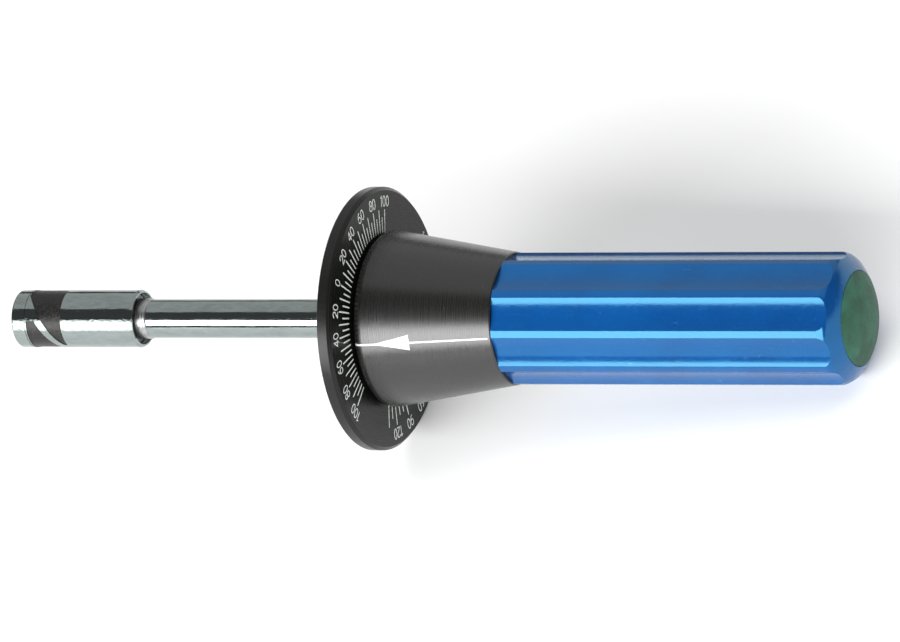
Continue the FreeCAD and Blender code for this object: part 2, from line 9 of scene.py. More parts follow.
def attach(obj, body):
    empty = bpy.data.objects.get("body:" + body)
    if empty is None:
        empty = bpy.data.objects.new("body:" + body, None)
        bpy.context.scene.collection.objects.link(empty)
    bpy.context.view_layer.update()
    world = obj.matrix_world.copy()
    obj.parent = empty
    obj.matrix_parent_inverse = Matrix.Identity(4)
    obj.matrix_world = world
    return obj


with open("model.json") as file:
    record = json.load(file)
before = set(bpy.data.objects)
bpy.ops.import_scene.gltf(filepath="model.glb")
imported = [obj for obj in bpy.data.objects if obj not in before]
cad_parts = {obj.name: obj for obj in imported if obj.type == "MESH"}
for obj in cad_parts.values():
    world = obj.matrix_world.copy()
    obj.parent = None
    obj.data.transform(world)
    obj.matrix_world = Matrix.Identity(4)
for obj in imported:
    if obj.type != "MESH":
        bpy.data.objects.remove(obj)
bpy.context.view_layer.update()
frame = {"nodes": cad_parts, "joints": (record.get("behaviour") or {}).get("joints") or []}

# Indicating torque screwdriver lying on its side. Lengths are millimetres along and round the
# tool's own axis: x runs from the bit towards the handle with 0 on the dial's marked face, and a
# bearing is the angle round the axis, 90 degrees being up. Floor, lamps, camera and the depth of
# bumps are in metres.

MM = 0.001

twist = next(j for j in frame["joints"] if j["name"] == "spindle_twist")
ORIGIN = np.array(twist["pos_m"], float)
ALONG = np.array(twist["axis"], float)
ALONG = ALONG / np.linalg.norm(ALONG)
SIDE = np.array([0.0, 1.0, 0.0])
ABOVE = np.cross(ALONG, SIDE)
TILT = math.atan2(-ALONG[2], ALONG[0])

# ---- Sizes shared with the solids ----
CONE_FRONT, CONE_REAR = 0.5, 29.5
CONE_FRONT_RADIUS, CONE_REAR_RADIUS = 18.4, 13.55
CONE_EDGE = 1.8
POINTER_BEARING = 147.4
ZERO_BEARING = 112.4
DEGREES_PER_UNIT = 0.7
INCH_OUNCES_PER_UNIT = 1.416
MARK_INNER, LONG_MARK, SHORT_MARK = 17.6, 22.4, 20.8
NOSE, BAND_START, SLEEVE_RADIUS = -83.86, 3.52, 6.02
RIB_BEARING, RIB_PLACE, RIB_LEAD, RIB_WIDTH = 131.3, 6.0, 22.5, 1.67

# ---- Sizes of the paint, the rib roots and the finishes ----
MARK_PAINT_WIDTH, MARK_END_GAP = 0.36, 0.02
FIGURE_FOOT, FIGURE_HEIGHT, FIGURE_PEN = 23.0, 2.1, 0.25
NARROW_DIGIT, WIDE_DIGIT = 0.48, 0.74
PAINT_RISE, PAINT_SINK = 0.02, 0.03

# Degrees over which a rib's root is straight and rounded, the rounding's inset, and the depth
# down to the pocket's floor.
ROOT_STRAIGHT, ROOT_ROUNDED = 23, 7
ROOT_INSET, ROOT_DEPTH = 0.5, 0.3

# Path length behind the cone's front edge, and the painted arrow's half width there: the line in
# front, the triangle, and the finer line behind it.
ARROW_WIDTHS = ((-1.9, 0.22), (3.02, 0.22), (3.05, 0.22), (9.95, 1.78), (9.99, 0.19),
                (26.55, 0.19), (26.62, 0.0))

# Radius and bearing of both ends of the scratch on the dial's face, the length over which it
# fades at each end, its half width, and the least x at which it shows.
SCRATCH_ENDS = ((18.6, 145.5), (24.7, 141.2))
SCRATCH_FADE, SCRATCH_HALF_WIDTH, SCRATCH_ABOVE = 0.4, 0.07, -0.3

# Turns round the axis at which the sleeve's pitted strip begins, is full, thins and ends.
PIT_STRIP = (0.345, 0.385, 0.425, 0.455)
PLATING = (0.30, 0.345, 0.335, 1.0)
RUBBED_BRIGHTNESS = 0.86

# Sockets of a Mix node that holds colours.
COLOUR_A, COLOUR_B, COLOUR_RESULT = 6, 7, 2


# ---- Placing things on the tool ----
def on_tool(x, across, up):
    """World point = origin + x along the axis + across sideways + up upwards, all in mm."""
    return (ORIGIN + MM * (np.multiply.outer(x, ALONG) + np.multiply.outer(across, SIDE)
                           + np.multiply.outer(up, ABOVE)))


def round_tool(x, radius, bearing):
    """World point at a distance from the axis: across = r cos(bearing), up = r sin(bearing)."""
    angle = np.radians(bearing)
    return on_tool(x, radius * np.cos(angle), radius * np.sin(angle))


def tube_faces(rows, columns):
    """Quads of a tube whose vertex (i, j), j going round, is number i * columns + j."""
    i, j = np.meshgrid(np.arange(rows - 1), np.arange(columns), indexing="ij")
    beside = (j + 1) % columns
    quads = np.stack([i * columns + j, (i + 1) * columns + j,
                      (i + 1) * columns + beside, i * columns + beside], -1)
    return quads.reshape(-1, 4)


def new_piece(name, points, faces, body, slot, finish, smooth=True):
    """A mesh piece made from arrays, in world metres, that rides on a body."""
    mesh = bpy.data.meshes.new(name)
    mesh.vertices.add(len(points))
    mesh.vertices.foreach_set("co", np.asarray(points, float).ravel())
    faces = np.asarray(faces)
    mesh.loops.add(faces.size)
    mesh.loops.foreach_set("vertex_index", faces.ravel())
    mesh.polygons.add(len(faces))
    mesh.polygons.foreach_set("loop_start", np.arange(0, faces.size, faces.shape[1]))
    mesh.polygons.foreach_set("use_smooth", np.full(len(faces), smooth))
    mesh.update(calc_edges=True)
    mesh.validate()
    piece = bpy.data.objects.new(name, mesh)
    bpy.context.scene.collection.objects.link(piece)
    mesh.materials.append(finish)
    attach(piece, body)
    return piece


# ---- Paint strokes ----
def arc(centre, radii, start, end, count=18):
    """Points of an ellipse's arc: centre + (rx cos t, ry sin t), t in degrees from start to end."""
    t = np.radians(np.linspace(start, end, count))
    return np.stack([centre[0] + radii[0] * np.cos(t), centre[1] + radii[1] * np.sin(t)], -1)


def straight(start, end, count=2):
    """Points of a straight stroke."""
    return np.linspace(start, end, count)


SIX = [arc((0.0, 0.30), (0.27, 0.30), 0, 360, 26), arc((0.22, 0.32), (0.49, 0.68), 184, 100, 12)]
FIGURE_STROKES = {
    "0": [arc((0.0, 0.5), (0.27, 0.5), 0, 360, 30)],
    "1": [straight((0.05, 1.0), (0.05, 0.0)), straight((0.05, 1.0), (-0.16, 0.80))],
    "2": [np.concatenate([arc((0.0, 0.72), (0.26, 0.28), 168, -32, 18), [(-0.27, 0.0)]]),
          straight((-0.27, 0.0), (0.29, 0.0))],
    "3": [arc((-0.01, 0.76), (0.23, 0.24), 150, -85, 18), arc((0.0, 0.27), (0.27, 0.27), 92, -150, 20)],
    "4": [straight((0.13, 1.0), (0.13, 0.0)), straight((0.13, 1.0), (-0.28, 0.28)),
          straight((-0.28, 0.28), (0.30, 0.28))],
    "6": SIX,
    "8": [arc((0.0, 0.755), (0.22, 0.245), 0, 360, 24), arc((0.0, 0.27), (0.275, 0.27), 0, 360, 26)],
    "9": [np.array([0.0, 1.0]) - stroke for stroke in SIX],
}


def pen_outline(centre_line, width, round_ends=True):
    """Stations and half widths of a pen stroke.

    The half width is w / 2 along the line, and past each end it falls as the half circle
    sqrt((w / 2)^2 - t^2) over the distance t, so the stroke ends round. A square end closes at
    once instead.
    """
    line = np.asarray(centre_line, float)
    half = width / 2
    if round_ends:
        t = half * np.sin(np.radians(np.linspace(15, 90, 5)))
        taper = np.sqrt(np.maximum(half ** 2 - t ** 2, 0.0))
    else:
        t = half * np.array([0.0001])
        taper = np.array([0.0])
    start = line[0] - line[1]
    end = line[-1] - line[-2]
    start = start / np.linalg.norm(start)
    end = end / np.linalg.norm(end)
    stations = np.concatenate([line[0] + start * t[::-1, None], line, line[-1] + end * t[:, None]])
    halves = np.concatenate([taper[::-1], np.full(len(line), half), taper])
    return stations, halves


def pen_bead(stations, halves, rise, sink):
    """A stroke's flat bead of paint: a cross section of six points round each station.

    Offsets are h * (1, 0.75, -0.75, -1, -0.7, 0.7) across the stroke and
    (-sink, rise, rise, -sink, -sink, -sink) off the surface.
    """
    tangent = np.gradient(stations, axis=0)
    tangent = tangent / np.linalg.norm(tangent, axis=1, keepdims=True)
    normal = np.stack([-tangent[:, 1], tangent[:, 0]], -1)
    across = np.array([1.0, 0.75, -0.75, -1.0, -0.7, 0.7])
    height = np.array([-sink, rise, rise, -sink, -sink, -sink])
    flat = stations[:, None, :] + normal[:, None, :] * (halves[:, None] * across)[..., None]
    lift = np.broadcast_to(height, flat.shape[:2])
    return flat.reshape(-1, 2), lift.reshape(-1), tube_faces(len(stations), len(across))


class PaintBeads:
    """Collects beads drawn in the dial's plane and puts them on its face as one mesh."""

    def __init__(self):
        self.flat, self.lift, self.faces, self.count = [], [], [], 0

    def draw(self, centre_line, width, to_plane, rise=PAINT_RISE, sink=PAINT_SINK,
             round_ends=True):
        """Draws one stroke, whose flat points the function to_plane carries to the plane."""
        stations, halves = pen_outline(centre_line, width, round_ends)
        flat, lift, faces = pen_bead(stations, halves, rise, sink)
        self.flat.append(to_plane(flat))
        self.lift.append(lift)
        self.faces.append(faces + self.count)
        self.count += len(flat)

    def on_dial(self):
        """World points and faces: the lift goes along the axis, the flat points across and up."""
        flat = np.concatenate(self.flat)
        points = on_tool(np.concatenate(self.lift), flat[:, 0], flat[:, 1])
        return points, np.concatenate(self.faces)


def figure_plane(bearing, radius):
    """Carries a stroke's flat points to the dial: up is outwards, right is clockwise as seen
    from the handle.

    point = radius * outward + v * outward + u * right, outward = (cos b, sin b) and
    right = (sin b, -cos b).
    """
    angle = math.radians(bearing)
    outward = np.array([math.cos(angle), math.sin(angle)])
    right = np.array([math.sin(angle), -math.cos(angle)])

    def carry(flat):
        return radius * outward + flat[:, 1:2] * outward + flat[:, 0:1] * right
    return carry


def write_number(beads, number, bearing):
    """Writes a number on the dial, centred on a bearing; digit widths are in figure heights."""
    digits = str(number)
    widths = np.array([NARROW_DIGIT if digit == "1" else WIDE_DIGIT for digit in digits])
    middles = np.cumsum(widths) - widths / 2 - widths.sum() / 2
    carry = figure_plane(bearing, FIGURE_FOOT)
    for middle, digit in zip(middles, digits):
        for stroke in FIGURE_STROKES[digit]:
            line = (np.asarray(stroke) + (middle, 0.0)) * FIGURE_HEIGHT
            beads.draw(line, FIGURE_PEN, carry)


# ---- Node groups and finishes ----
def group_tree(name, inputs, outputs):
    """A shader group with named sockets: inputs are (name, kind, default), outputs (name, kind)."""
    tree = bpy.data.node_groups.new(name, "ShaderNodeTree")
    for label, kind, default in inputs:
        socket = tree.interface.new_socket(label, in_out="INPUT", socket_type=kind)
        if default is not None:
            socket.default_value = default
    for label, kind in outputs:
        tree.interface.new_socket(label, in_out="OUTPUT", socket_type=kind)
    return tree, tree.nodes.new("NodeGroupInput"), tree.nodes.new("NodeGroupOutput")


def join(tree, source, target):
    """Links one socket to another."""
    tree.links.new(source, target)


def give(tree, socket, value):
    """Sets a socket to a plain value or links it to another socket."""
    if isinstance(value, bpy.types.NodeSocket):
        tree.links.new(value, socket)
    else:
        socket.default_value = value


def maths(tree, operation, first, second=None, clamp=False):
    """One sum on plain values or sockets."""
    node = tree.nodes.new("ShaderNodeMath")
    node.operation = operation
    node.use_clamp = clamp
    give(tree, node.inputs[0], first)
    if second is not None:
        give(tree, node.inputs[1], second)
    return node.outputs[0]


def times(tree, first, second):
    """Product of two values."""
    return maths(tree, "MULTIPLY", first, second)


def plus(tree, first, second):
    """Total of two values."""
    return maths(tree, "ADD", first, second)


def minus(tree, first, second):
    """Difference of two values."""
    return maths(tree, "SUBTRACT", first, second)


def span(tree, value, low, high, to_low=0.0, to_high=1.0, smooth=True):
    """A value moved from one range to another and held inside it."""
    node = tree.nodes.new("ShaderNodeMapRange")
    node.interpolation_type = "SMOOTHSTEP" if smooth else "LINEAR"
    give(tree, node.inputs["Value"], value)
    limits = {"From Min": low, "From Max": high, "To Min": to_low, "To Max": to_high}
    for label, limit in limits.items():
        give(tree, node.inputs[label], limit)
    return node.outputs["Result"]


def noise(tree, vector, scale, detail=3.0, roughness=0.5, distortion=0.0, kind="3D"):
    """A noise over a vector, or over one coordinate where the kind is 1D."""
    node = tree.nodes.new("ShaderNodeTexNoise")
    node.noise_dimensions = kind
    if kind == "1D":
        give(tree, node.inputs["W"], vector)
    else:
        give(tree, node.inputs["Vector"], vector)
    give(tree, node.inputs["Scale"], scale)
    node.inputs["Detail"].default_value = detail
    node.inputs["Roughness"].default_value = roughness
    node.inputs["Distortion"].default_value = distortion
    return node.outputs[0]


def stretched(tree, vector, factors):
    """A vector multiplied axis by axis."""
    node = tree.nodes.new("ShaderNodeVectorMath")
    node.operation = "MULTIPLY"
    give(tree, node.inputs[0], vector)
    node.inputs[1].default_value = factors
    return node.outputs[0]


def blend_colour(tree, factor, first, second):
    """The first colour at factor 0, the second at 1."""
    node = tree.nodes.new("ShaderNodeMix")
    node.data_type = "RGBA"
    give(tree, node.inputs["Factor"], factor)
    give(tree, node.inputs[COLOUR_A], first)
    give(tree, node.inputs[COLOUR_B], second)
    return node.outputs[COLOUR_RESULT]


def make_tool_place():
    """Object coordinates to the tool's own millimetres, its radius and its bearing in turns."""
    tree, entry, leave = group_tree("tool_place", [("Vector", "NodeSocketVector", None)],
                                    [("Place", "NodeSocketVector"), ("Along", "NodeSocketFloat"),
                                     ("Radius", "NodeSocketFloat"), ("Turns", "NodeSocketFloat")])
    mapping = tree.nodes.new("ShaderNodeMapping")
    mapping.vector_type = "POINT"
    own = np.array([ALONG, SIDE, ABOVE])
    mapping.inputs["Location"].default_value = tuple(-(own @ ORIGIN) / MM)
    mapping.inputs["Rotation"].default_value = (0.0, -TILT, 0.0)
    mapping.inputs["Scale"].default_value = (1 / MM, 1 / MM, 1 / MM)
    join(tree, entry.outputs["Vector"], mapping.inputs["Vector"])
    parts = tree.nodes.new("ShaderNodeSeparateXYZ")
    join(tree, mapping.outputs[0], parts.inputs[0])
    square = plus(tree, times(tree, parts.outputs[1], parts.outputs[1]),
                  times(tree, parts.outputs[2], parts.outputs[2]))
    radius = maths(tree, "SQRT", square)
    bearing = maths(tree, "ARCTAN2", parts.outputs[2], parts.outputs[1])
    turns = maths(tree, "DIVIDE", bearing, math.tau)
    join(tree, mapping.outputs[0], leave.inputs["Place"])
    join(tree, parts.outputs[0], leave.inputs["Along"])
    join(tree, radius, leave.inputs["Radius"])
    join(tree, turns, leave.inputs["Turns"])
    return tree


def make_turning_lines():
    """Rings that a lathe tool leaves: noise along one coordinate, fine rings on broader ones."""
    tree, entry, leave = group_tree(
        "turning_lines", [("Coordinate", "NodeSocketFloat", 0.0), ("Place", "NodeSocketVector", None),
                          ("Fineness", "NodeSocketFloat", 6.0)],
        [("Height", "NodeSocketFloat"), ("Streaks", "NodeSocketFloat")])
    coordinate = entry.outputs["Coordinate"]
    wander = noise(tree, stretched(tree, entry.outputs["Place"], (0.06, 0.06, 0.06)), 1.0, 2.0)
    shifted = plus(tree, coordinate, times(tree, wander, 0.15))
    fine = noise(tree, times(tree, shifted, entry.outputs["Fineness"]), 1.0, detail=4.0,
                 roughness=0.7, kind="1D")
    broad = noise(tree, times(tree, coordinate, 0.6), 1.0, detail=2.0, kind="1D")
    height = plus(tree, times(tree, fine, 0.8), times(tree, broad, 0.2))
    join(tree, height, leave.inputs["Height"])
    join(tree, span(tree, fine, 0.38, 0.62), leave.inputs["Streaks"])
    return tree


def make_dust():
    """Scattered specks: the cores of a share of a pattern's cells, each with its own strength."""
    tree, entry, leave = group_tree(
        "dust_specks", [("Place", "NodeSocketVector", None), ("Scale", "NodeSocketFloat", 1.0),
                        ("Size", "NodeSocketFloat", 0.12), ("Amount", "NodeSocketFloat", 0.5)],
        [("Mask", "NodeSocketFloat")])
    cells = tree.nodes.new("ShaderNodeTexVoronoi")
    join(tree, entry.outputs["Place"], cells.inputs["Vector"])
    join(tree, entry.outputs["Scale"], cells.inputs["Scale"])
    pick = tree.nodes.new("ShaderNodeSeparateColor")
    join(tree, cells.outputs["Color"], pick.inputs[0])
    speck = span(tree, cells.outputs["Distance"], 0.0, entry.outputs["Size"], 1.0, 0.0)
    kept = maths(tree, "LESS_THAN", pick.outputs[0], entry.outputs["Amount"])
    strength = times(tree, kept, span(tree, pick.outputs[1], 0.0, 1.0, 0.25, 1.0, False))
    join(tree, times(tree, speck, strength), leave.inputs["Mask"])
    return tree


def make_scratches():
    """Fine scratches: thin level lines of one noise, broken up by a second one."""
    tree, entry, leave = group_tree(
        "fine_scratches", [("Place", "NodeSocketVector", None), ("Scale", "NodeSocketFloat", 0.5),
                           ("Width", "NodeSocketFloat", 0.01), ("Amount", "NodeSocketFloat", 0.5)],
        [("Mask", "NodeSocketFloat")])
    place, scale = entry.outputs["Place"], entry.outputs["Scale"]
    lines = noise(tree, place, scale, detail=1.0, roughness=0.5, distortion=0.4)
    off = maths(tree, "ABSOLUTE", minus(tree, lines, 0.5))
    thin = span(tree, off, 0.0, entry.outputs["Width"], 1.0, 0.0)
    breaks = noise(tree, place, times(tree, scale, 2.3), detail=2.0)
    least = minus(tree, 0.72, times(tree, entry.outputs["Amount"], 0.3))
    kept = span(tree, breaks, least, 0.78)
    join(tree, times(tree, thin, kept), leave.inputs["Mask"])
    return tree


GROUPS = {"place": make_tool_place(), "turning": make_turning_lines(), "dust": make_dust(),
          "scratches": make_scratches()}


def use_group(tree, key, **values):
    """A group's node, with its inputs given by name."""
    node = tree.nodes.new("ShaderNodeGroup")
    node.node_tree = GROUPS[key]
    for label, value in values.items():
        give(tree, node.inputs[label], value)
    return node


def mask(tree, key, **values):
    """The mask that a dust or scratch group gives."""
    return use_group(tree, key, **values).outputs["Mask"]


class Finish:
    """A material with its Principled shader and the tool's coordinates at hand."""

    def __init__(self, name, **plain):
        self.material = bpy.data.materials.new(name)
        self.material.use_nodes = True
        self.tree = self.material.node_tree
        self.shader = self.tree.nodes["Principled BSDF"]
        for key, value in plain.items():
            label = key.replace("_", " ").title().replace("Ior", "IOR")
            self.shader.inputs[label].default_value = value
        coordinates = self.tree.nodes.new("ShaderNodeTexCoord")
        self.where = use_group(self.tree, "place", Vector=coordinates.outputs["Object"])
        self.place = self.where.outputs["Place"]

    def feed(self, label, value):
        """Gives one of the shader's inputs its value or link."""
        give(self.tree, self.shader.inputs[label], value)

    def bump(self, height, strength, distance, under=None):
        """A normal bent by a height, on top of another normal if there is one."""
        node = self.tree.nodes.new("ShaderNodeBump")
        node.inputs["Strength"].default_value = strength
        node.inputs["Distance"].default_value = distance
        give(self.tree, node.inputs["Height"], height)
        if under is not None:
            give(self.tree, node.inputs["Normal"], under)
        return node.outputs[0]


def linear(red, green, blue):
    """A screen colour, 0 to 255, as the linear colour that shaders take."""
    value = np.array([red, green, blue]) / 255.0
    value = np.where(value <= 0.04045, value / 12.92, ((value + 0.055) / 1.055) ** 2.4)
    return (*value, 1.0)


def make_blue_handle():
    """Polished blue moulding: deep colour with faint clouds, a paler grain and soft scuffs."""
    deep, clear = (0.002, 0.040, 0.165, 1.0), (0.002, 0.052, 0.20, 1.0)
    pale, scuffed = (0.003, 0.07, 0.25, 1.0), linear(120, 175, 215)
    f = Finish("blue_handle", roughness=0.16, ior=1.49, specular_ior_level=1.0)
    f.shader.inputs["Specular Tint"].default_value = (0.25, 0.8, 1.0, 1.0)
    tree = f.tree
    clouds = noise(tree, f.place, 0.055, detail=3.0, roughness=0.55)
    grain = noise(tree, f.place, 1.4, detail=4.0, roughness=0.6)
    colour = blend_colour(tree, span(tree, clouds, 0.3, 0.7), deep, clear)
    colour = blend_colour(tree, span(tree, grain, 0.45, 0.8, 0.0, 0.25), colour, pale)
    scuffs = mask(tree, "scratches", Place=stretched(tree, f.place, (0.25, 1.0, 1.0)), Scale=0.45,
                  Width=0.006, Amount=0.55)
    f.feed("Base Color", blend_colour(tree, times(tree, scuffs, 0.3), colour, scuffed))
    worn = plus(tree, grain, times(tree, scuffs, 0.4))
    f.feed("Roughness", span(tree, worn, 0.3, 0.9, 0.12, 0.24))
    height = plus(tree, clouds, times(tree, grain, 0.12))
    f.feed("Normal", f.bump(height, strength=0.25, distance=0.0003))
    return f.material


def make_green_cap():
    """Matt green plastic with a fine eroded grain."""
    f = Finish("green_cap", roughness=0.55, ior=1.46)
    tree = f.tree
    grain = noise(tree, f.place, 3.2, detail=5.0, roughness=0.65)
    patches = noise(tree, f.place, 0.22, detail=2.0)
    colour = blend_colour(tree, span(tree, patches, 0.35, 0.7), linear(24, 70, 50), linear(33, 92, 70))
    colour = blend_colour(tree, span(tree, grain, 0.5, 0.75, 0.0, 0.5), colour, linear(22, 50, 40))
    f.feed("Base Color", colour)
    f.feed("Roughness", span(tree, grain, 0.3, 0.7, 0.48, 0.68))
    f.feed("Normal", f.bump(grain, strength=0.5, distance=0.0002))
    return f.material


def make_black_cone():
    """Black anodised aluminium, turned: fine rings, and pale dust in two sizes."""
    f = Finish("black_anodised_cone", roughness=0.3, specular_ior_level=0.85)
    tree = f.tree
    rings = use_group(tree, "turning", Coordinate=f.where.outputs["Along"], Place=f.place,
                      Fineness=9.0)
    dust = mask(tree, "dust", Place=f.place, Scale=0.55, Size=0.055, Amount=0.16)
    fine_dust = mask(tree, "dust", Place=f.place, Scale=1.7, Size=0.09, Amount=0.10)
    specks = maths(tree, "MAXIMUM", dust, times(tree, fine_dust, 0.5), clamp=True)
    colour = blend_colour(tree, rings.outputs["Streaks"], linear(8, 8, 7), linear(18, 18, 17))
    colour = blend_colour(tree, times(tree, specks, 0.7), colour, linear(190, 195, 192))
    f.feed("Base Color", colour)
    f.feed("Roughness", span(tree, rings.outputs["Streaks"], 0.0, 1.0, 0.2, 0.36))
    f.feed("Normal", f.bump(rings.outputs["Height"], strength=0.35, distance=0.00006))
    return f.material


def face_scratch(f):
    """Mask of one straight scratch across the dial's marked face.

    A point p of the face lies w . (p - a) along the scratch and n . (p - a) beside it, where a is
    its first end, w its direction and n square to that. The mask fades over both distances.
    """
    tree = f.tree
    ends = np.array([[radius * math.cos(math.radians(bearing)),
                      radius * math.sin(math.radians(bearing))] for radius, bearing in SCRATCH_ENDS])
    length = float(np.linalg.norm(ends[1] - ends[0]))
    way = (ends[1] - ends[0]) / length
    parts = tree.nodes.new("ShaderNodeSeparateXYZ")
    join(tree, f.place, parts.inputs[0])

    def measured(direction):
        """Distance of the shaded point from the first end, in a direction."""
        across = times(tree, parts.outputs[1], float(direction[0]))
        total = plus(tree, across, times(tree, parts.outputs[2], float(direction[1])))
        return minus(tree, total, float(direction @ ends[0]))

    beside = maths(tree, "ABSOLUTE", measured(np.array([-way[1], way[0]])))
    along = measured(way)
    inside = times(tree, span(tree, along, 0.0, SCRATCH_FADE),
                   span(tree, along, length - SCRATCH_FADE, length, 1.0, 0.0))
    scratch = times(tree, span(tree, beside, 0.0, SCRATCH_HALF_WIDTH, 1.0, 0.0), inside)
    on_face = maths(tree, "GREATER_THAN", parts.outputs[0], SCRATCH_ABOVE)
    return times(tree, scratch, on_face)


def make_black_dial():
    """Black anodised disc: turned face, smooth rim, some dust, and one fine pale scratch."""
    f = Finish("black_anodised_dial", roughness=0.3, specular_ior_level=0.3)
    tree = f.tree
    rings = use_group(tree, "turning", Coordinate=f.where.outputs["Radius"], Place=f.place,
                      Fineness=5.0)
    dust = mask(tree, "dust", Place=f.place, Scale=0.8, Size=0.06, Amount=0.10)
    scratch = face_scratch(f)
    colour = blend_colour(tree, rings.outputs["Streaks"], linear(9, 9, 8), linear(18, 18, 17))
    colour = blend_colour(tree, times(tree, dust, 0.55), colour, linear(180, 185, 180))
    colour = blend_colour(tree, times(tree, scratch, 0.6), colour, linear(200, 200, 195))
    f.feed("Base Color", colour)
    f.feed("Roughness", span(tree, rings.outputs["Streaks"], 0.0, 1.0, 0.26, 0.36))
    f.feed("Normal", f.bump(rings.outputs["Height"], strength=0.25, distance=0.00005))
    return f.material


def make_chrome(name, rough_low, rough_high, dents, scratch_amount, pitted=0.0):
    """Bright plating: slight waves, rubbed patches and fine scratches; a pitted strip if asked."""
    f = Finish(name, metallic=1.0, roughness=rough_low)
    tree = f.tree
    waves = noise(tree, stretched(tree, f.place, (0.25, 1.0, 1.0)), 0.6, detail=3.0, roughness=0.5)
    rubbed = noise(tree, stretched(tree, f.place, (0.35, 1.0, 1.0)), 0.9, detail=4.0, roughness=0.65)
    scratches = mask(tree, "scratches", Place=stretched(tree, f.place, (0.3, 1.0, 1.0)), Scale=0.8,
                     Width=0.012, Amount=scratch_amount)
    dull = tuple(RUBBED_BRIGHTNESS * c for c in PLATING[:3]) + (1.0,)
    tint = blend_colour(tree, span(tree, rubbed, 0.35, 0.7), PLATING, dull)
    f.feed("Base Color", blend_colour(tree, times(tree, scratches, 0.5), tint, linear(190, 198, 196)))
    worn = plus(tree, rubbed, times(tree, scratches, 0.3))
    f.feed("Roughness", span(tree, worn, 0.35, 0.8, rough_low, rough_high))
    under = None
    if pitted:
        begins, full, thins, ends = PIT_STRIP
        turns = f.where.outputs["Turns"]
        strip = times(tree, span(tree, turns, begins, full), span(tree, turns, thins, ends, 1.0, 0.0))
        pits = times(tree, noise(tree, f.place, 2.1, detail=4.0, roughness=0.62), strip)
        under = f.bump(pits, strength=pitted, distance=0.00018)
    height = plus(tree, waves, times(tree, scratches, -0.2))
    f.feed("Normal", f.bump(height, strength=dents, distance=0.0002, under=under))
    return f.material


def make_dark_inlay():
    """Blackened bottom of the sleeve's pockets, mottled by a fine grain."""
    f = Finish("dark_inlay", roughness=0.42, metallic=0.3)
    tree = f.tree
    grain = noise(tree, f.place, 2.4, detail=4.0, roughness=0.6)
    colour = blend_colour(tree, span(tree, grain, 0.4, 0.75), linear(16, 15, 15), linear(46, 44, 42))
    f.feed("Base Color", colour)
    f.feed("Roughness", span(tree, grain, 0.3, 0.7, 0.3, 0.55))
    f.feed("Normal", f.bump(grain, strength=0.4, distance=0.0002))
    return f.material


def make_metal(name, dark, light, rough_low, rough_high, turned=True):
    """Machined metal with darker and lighter patches.

    Its tool rings follow one another along the axis where it is turned, and outwards from the
    axis where it isn't.
    """
    f = Finish(name, metallic=1.0, roughness=rough_low)
    tree = f.tree
    rings = use_group(tree, "turning", Coordinate=f.where.outputs["Along" if turned else "Radius"],
                      Place=f.place, Fineness=4.0)
    patches = noise(tree, f.place, 0.7, detail=3.0)
    f.feed("Base Color", blend_colour(tree, span(tree, patches, 0.3, 0.7), dark, light))
    f.feed("Roughness", span(tree, rings.outputs["Streaks"], 0.0, 1.0, rough_low, rough_high))
    f.feed("Normal", f.bump(rings.outputs["Height"], strength=0.3, distance=0.0001))
    return f.material


def make_white_paint():
    """White filling paint, very slightly greenish, greyer in places."""
    full, thin = linear(232, 236, 230), linear(205, 212, 206)
    f = Finish("white_paint", roughness=0.5, specular_ior_level=0.3)
    tree = f.tree
    cover = noise(tree, f.place, 2.6, detail=4.0, roughness=0.6)
    f.feed("Base Color", blend_colour(tree, span(tree, cover, 0.35, 0.75), full, thin))
    f.feed("Roughness", span(tree, cover, 0.3, 0.7, 0.42, 0.6))
    return f.material


blue_handle = make_blue_handle()
green_cap = make_green_cap()
black_cone = make_black_cone()
black_dial = make_black_dial()
shaft_chrome = make_chrome("shaft_chrome", 0.08, 0.2, dents=0.16, scratch_amount=0.5)
sleeve_chrome = make_chrome("sleeve_chrome", 0.06, 0.2, dents=0.3, scratch_amount=0.9, pitted=0.75)
dark_inlay = make_dark_inlay()
turned_steel = make_metal("turned_steel", linear(150, 152, 152), linear(178, 180, 178), 0.24, 0.4)
spring_steel = make_metal("spring_steel", linear(110, 112, 116), linear(140, 142, 144), 0.2, 0.36,
                          turned=False)
bush_bronze = make_metal("bush_bronze", linear(172, 128, 78), linear(196, 150, 96), 0.28, 0.42)
ring_brass = make_metal("ring_brass", linear(196, 160, 88), linear(214, 180, 110), 0.22, 0.36)
white_paint = make_white_paint()

NODE_FINISHES = {
    "grip": blue_handle, "end_cap": green_cap, "pointer_cone": black_cone, "dial_hub": black_cone,
    "dial": black_dial, "spindle": shaft_chrome, "chuck_sleeve": sleeve_chrome,
    "sleeve_inlays": dark_inlay, "torsion_bar": spring_steel, "disc_spring": spring_steel,
    "dial_ring": spring_steel, "spindle_ring": spring_steel, "snap_ring": spring_steel,
    "sleeve_spring": spring_steel, "front_bush": bush_bronze, "rear_bush": bush_bronze,
    "coupling_ring": ring_brass,
}
for node_name, node in frame["nodes"].items():
    finish = NODE_FINISHES.get(node_name, turned_steel)
    if not node.material_slots:
        node.data.materials.append(finish)
    for holder in node.material_slots:
        holder.material = finish


# ---- Painted marks and figures of the dial ----
def first_scale(unit):
    """Bearing of a value on the first scale."""
    return ZERO_BEARING + DEGREES_PER_UNIT * unit


def second_scale(unit):
    """Bearing of a value in inch ounces, on the scale across the dial from the first."""
    return ZERO_BEARING + 180 + DEGREES_PER_UNIT / INCH_OUNCES_PER_UNIT * unit


